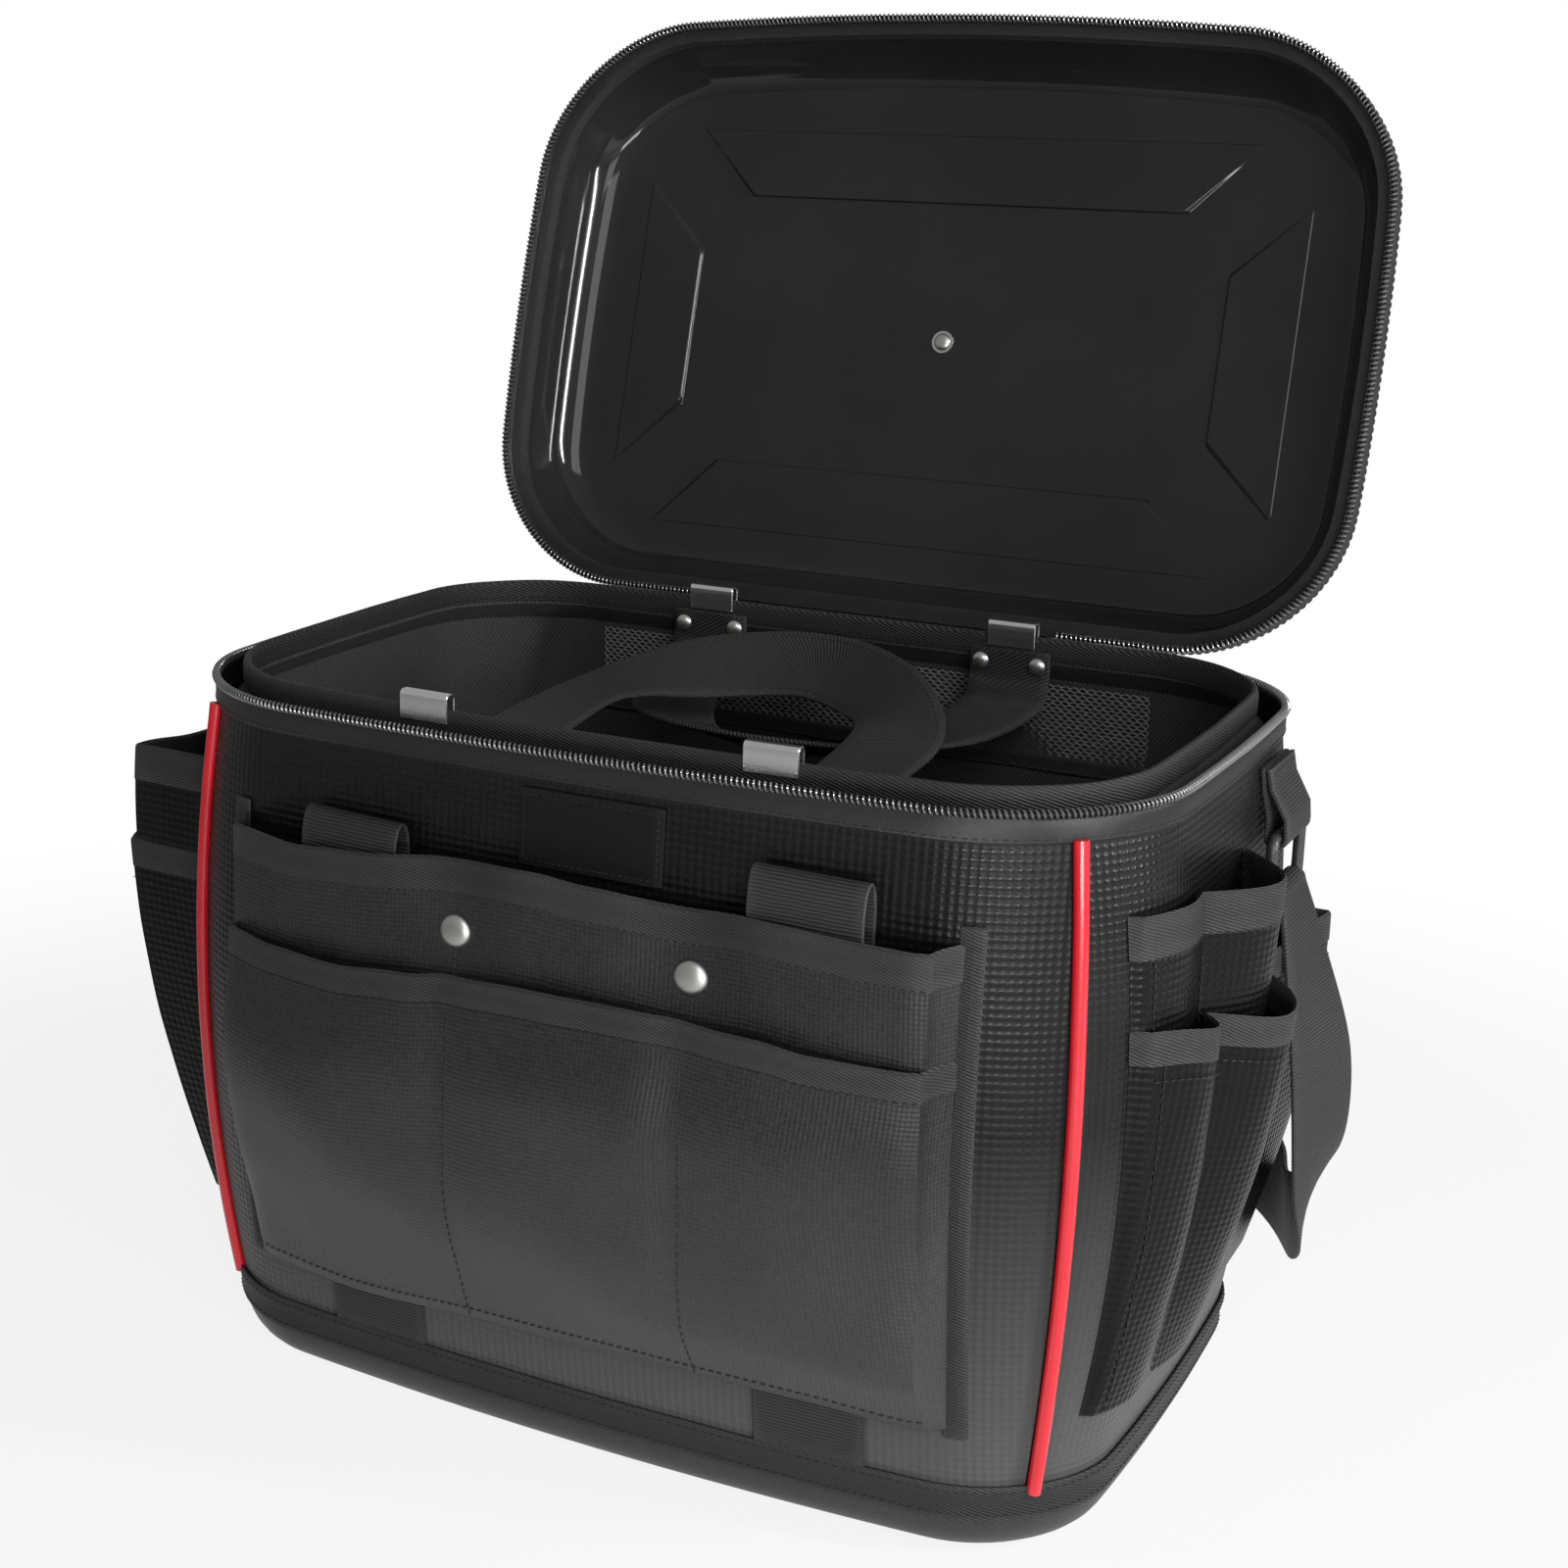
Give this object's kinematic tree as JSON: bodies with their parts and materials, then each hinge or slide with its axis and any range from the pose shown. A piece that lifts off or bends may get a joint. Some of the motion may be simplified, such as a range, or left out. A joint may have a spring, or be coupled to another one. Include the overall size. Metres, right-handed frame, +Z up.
{
  "type": "tool bucket organizer",
  "caption": "Soft-sided electrician tool bucket with moulded base, red corner piping, outside pockets, webbing straps and a hard hinged lid with a coil zip, shown open.",
  "frame": {"origin": "middle of the flat underside of the base tray, on the floor", "axes": "+Z up, the front with the wide pocket faces -Y, the lid hinge runs along X at the rear"},
  "size_m": [0.5127, 0.434, 0.5855],
  "materials": {
    "tray": "satin moulded",
    "board": "plain sheet",
    "coated_cloth": "coated, checker embossed",
    "piping": "glossy",
    "coil": "satin",
    "bright_metal": "bright plated",
    "dark_metal": "black",
    "shell": "fine grained",
    "gloss_liner": "glossy formed sheet",
    "lining": "plain weave",
    "net": "open mesh",
    "webbing": "ribbed webbing",
    "pocket_cloth": "plain weave, coated",
    "patch": "matt, blank",
    "tape": "ribbed tape"
  },
  "bodies": {
    "bucket": {"base_tray": "tray", "floor_board": "board", "base_binding": "tape", "front_panel": "coated_cloth", "right_panel": "coated_cloth", "rear_panel": "coated_cloth", "left_panel": "coated_cloth", "front_board": "board", "right_board": "board", "rear_board": "board", "left_board": "board", "lining": "lining", "lining_binding": "tape", "piping_front_left": "piping", "piping_front_right": "piping", "piping_rear_right": "piping", "piping_rear_left": "piping", "body_zip_tape": "tape", "body_zip_coil": "coil", "hinge_strip": "tape", "carry_handle_front": "webbing", "carry_handle_rear": "webbing", "strap_clips": "bright_metal", "strap_rivets": "bright_metal", "net_pocket": "net", "net_binding": "tape", "front_pocket_upper": "pocket_cloth", "front_pocket_lower": "pocket_cloth", "front_upper_binding": "tape", "front_lower_binding": "tape", "pocket_rivets": "bright_metal", "front_patch": "patch", "front_webbing_right": "webbing", "front_webbing_left": "webbing", "right_pocket_upper": "pocket_cloth", "right_pocket_lower": "pocket_cloth", "right_pocket_bindings": "tape", "left_pocket_upper": "pocket_cloth", "left_pocket_lower": "pocket_cloth", "left_pocket_bindings": "tape", "anchor_tab_right": "webbing", "anchor_tab_left": "webbing", "strap_ring_right": "dark_metal", "strap_ring_left": "dark_metal", "shoulder_strap": "webbing"},
    "lid": {"lid_shell": "shell", "lid_liner": "gloss_liner", "lid_binding": "tape", "lid_zip_tape": "tape", "lid_zip_coil": "coil", "lid_rivet": "bright_metal", "lid_hinge_strip": "tape"},
    "slider_right_body": {"slider_right": "dark_metal"},
    "slider_left_body": {"slider_left": "dark_metal"},
    "pull_right_body": {"pull_right": "dark_metal"},
    "pull_left_body": {"pull_left": "dark_metal"}
  },
  "joints": [
    {"name": "lid_hinge", "type": "hinge", "parent": "bucket", "child": "lid", "pos_m": [0, 0.1396, 0.3058], "axis": [1, 0, 0], "range_deg": [0, 105]},
    {"name": "slider_right_run", "type": "slide", "parent": "bucket", "child": "slider_right_body", "axis": [1, 0, 0], "range_m": [0, 0.026]},
    {"name": "slider_left_run", "type": "slide", "parent": "bucket", "child": "slider_left_body", "axis": [-1, 0, 0], "range_m": [0, 0.026]},
    {"name": "pull_right_swing", "type": "hinge", "parent": "slider_right_body", "child": "pull_right_body", "pos_m": [0.1035, 0.1444, 0.299], "axis": [1, 0, 0], "range_deg": [0, 60]},
    {"name": "pull_left_swing", "type": "hinge", "parent": "slider_left_body", "child": "pull_left_body", "pos_m": [-0.1035, 0.1444, 0.299], "axis": [1, 0, 0], "range_deg": [0, 60]}
  ]
}
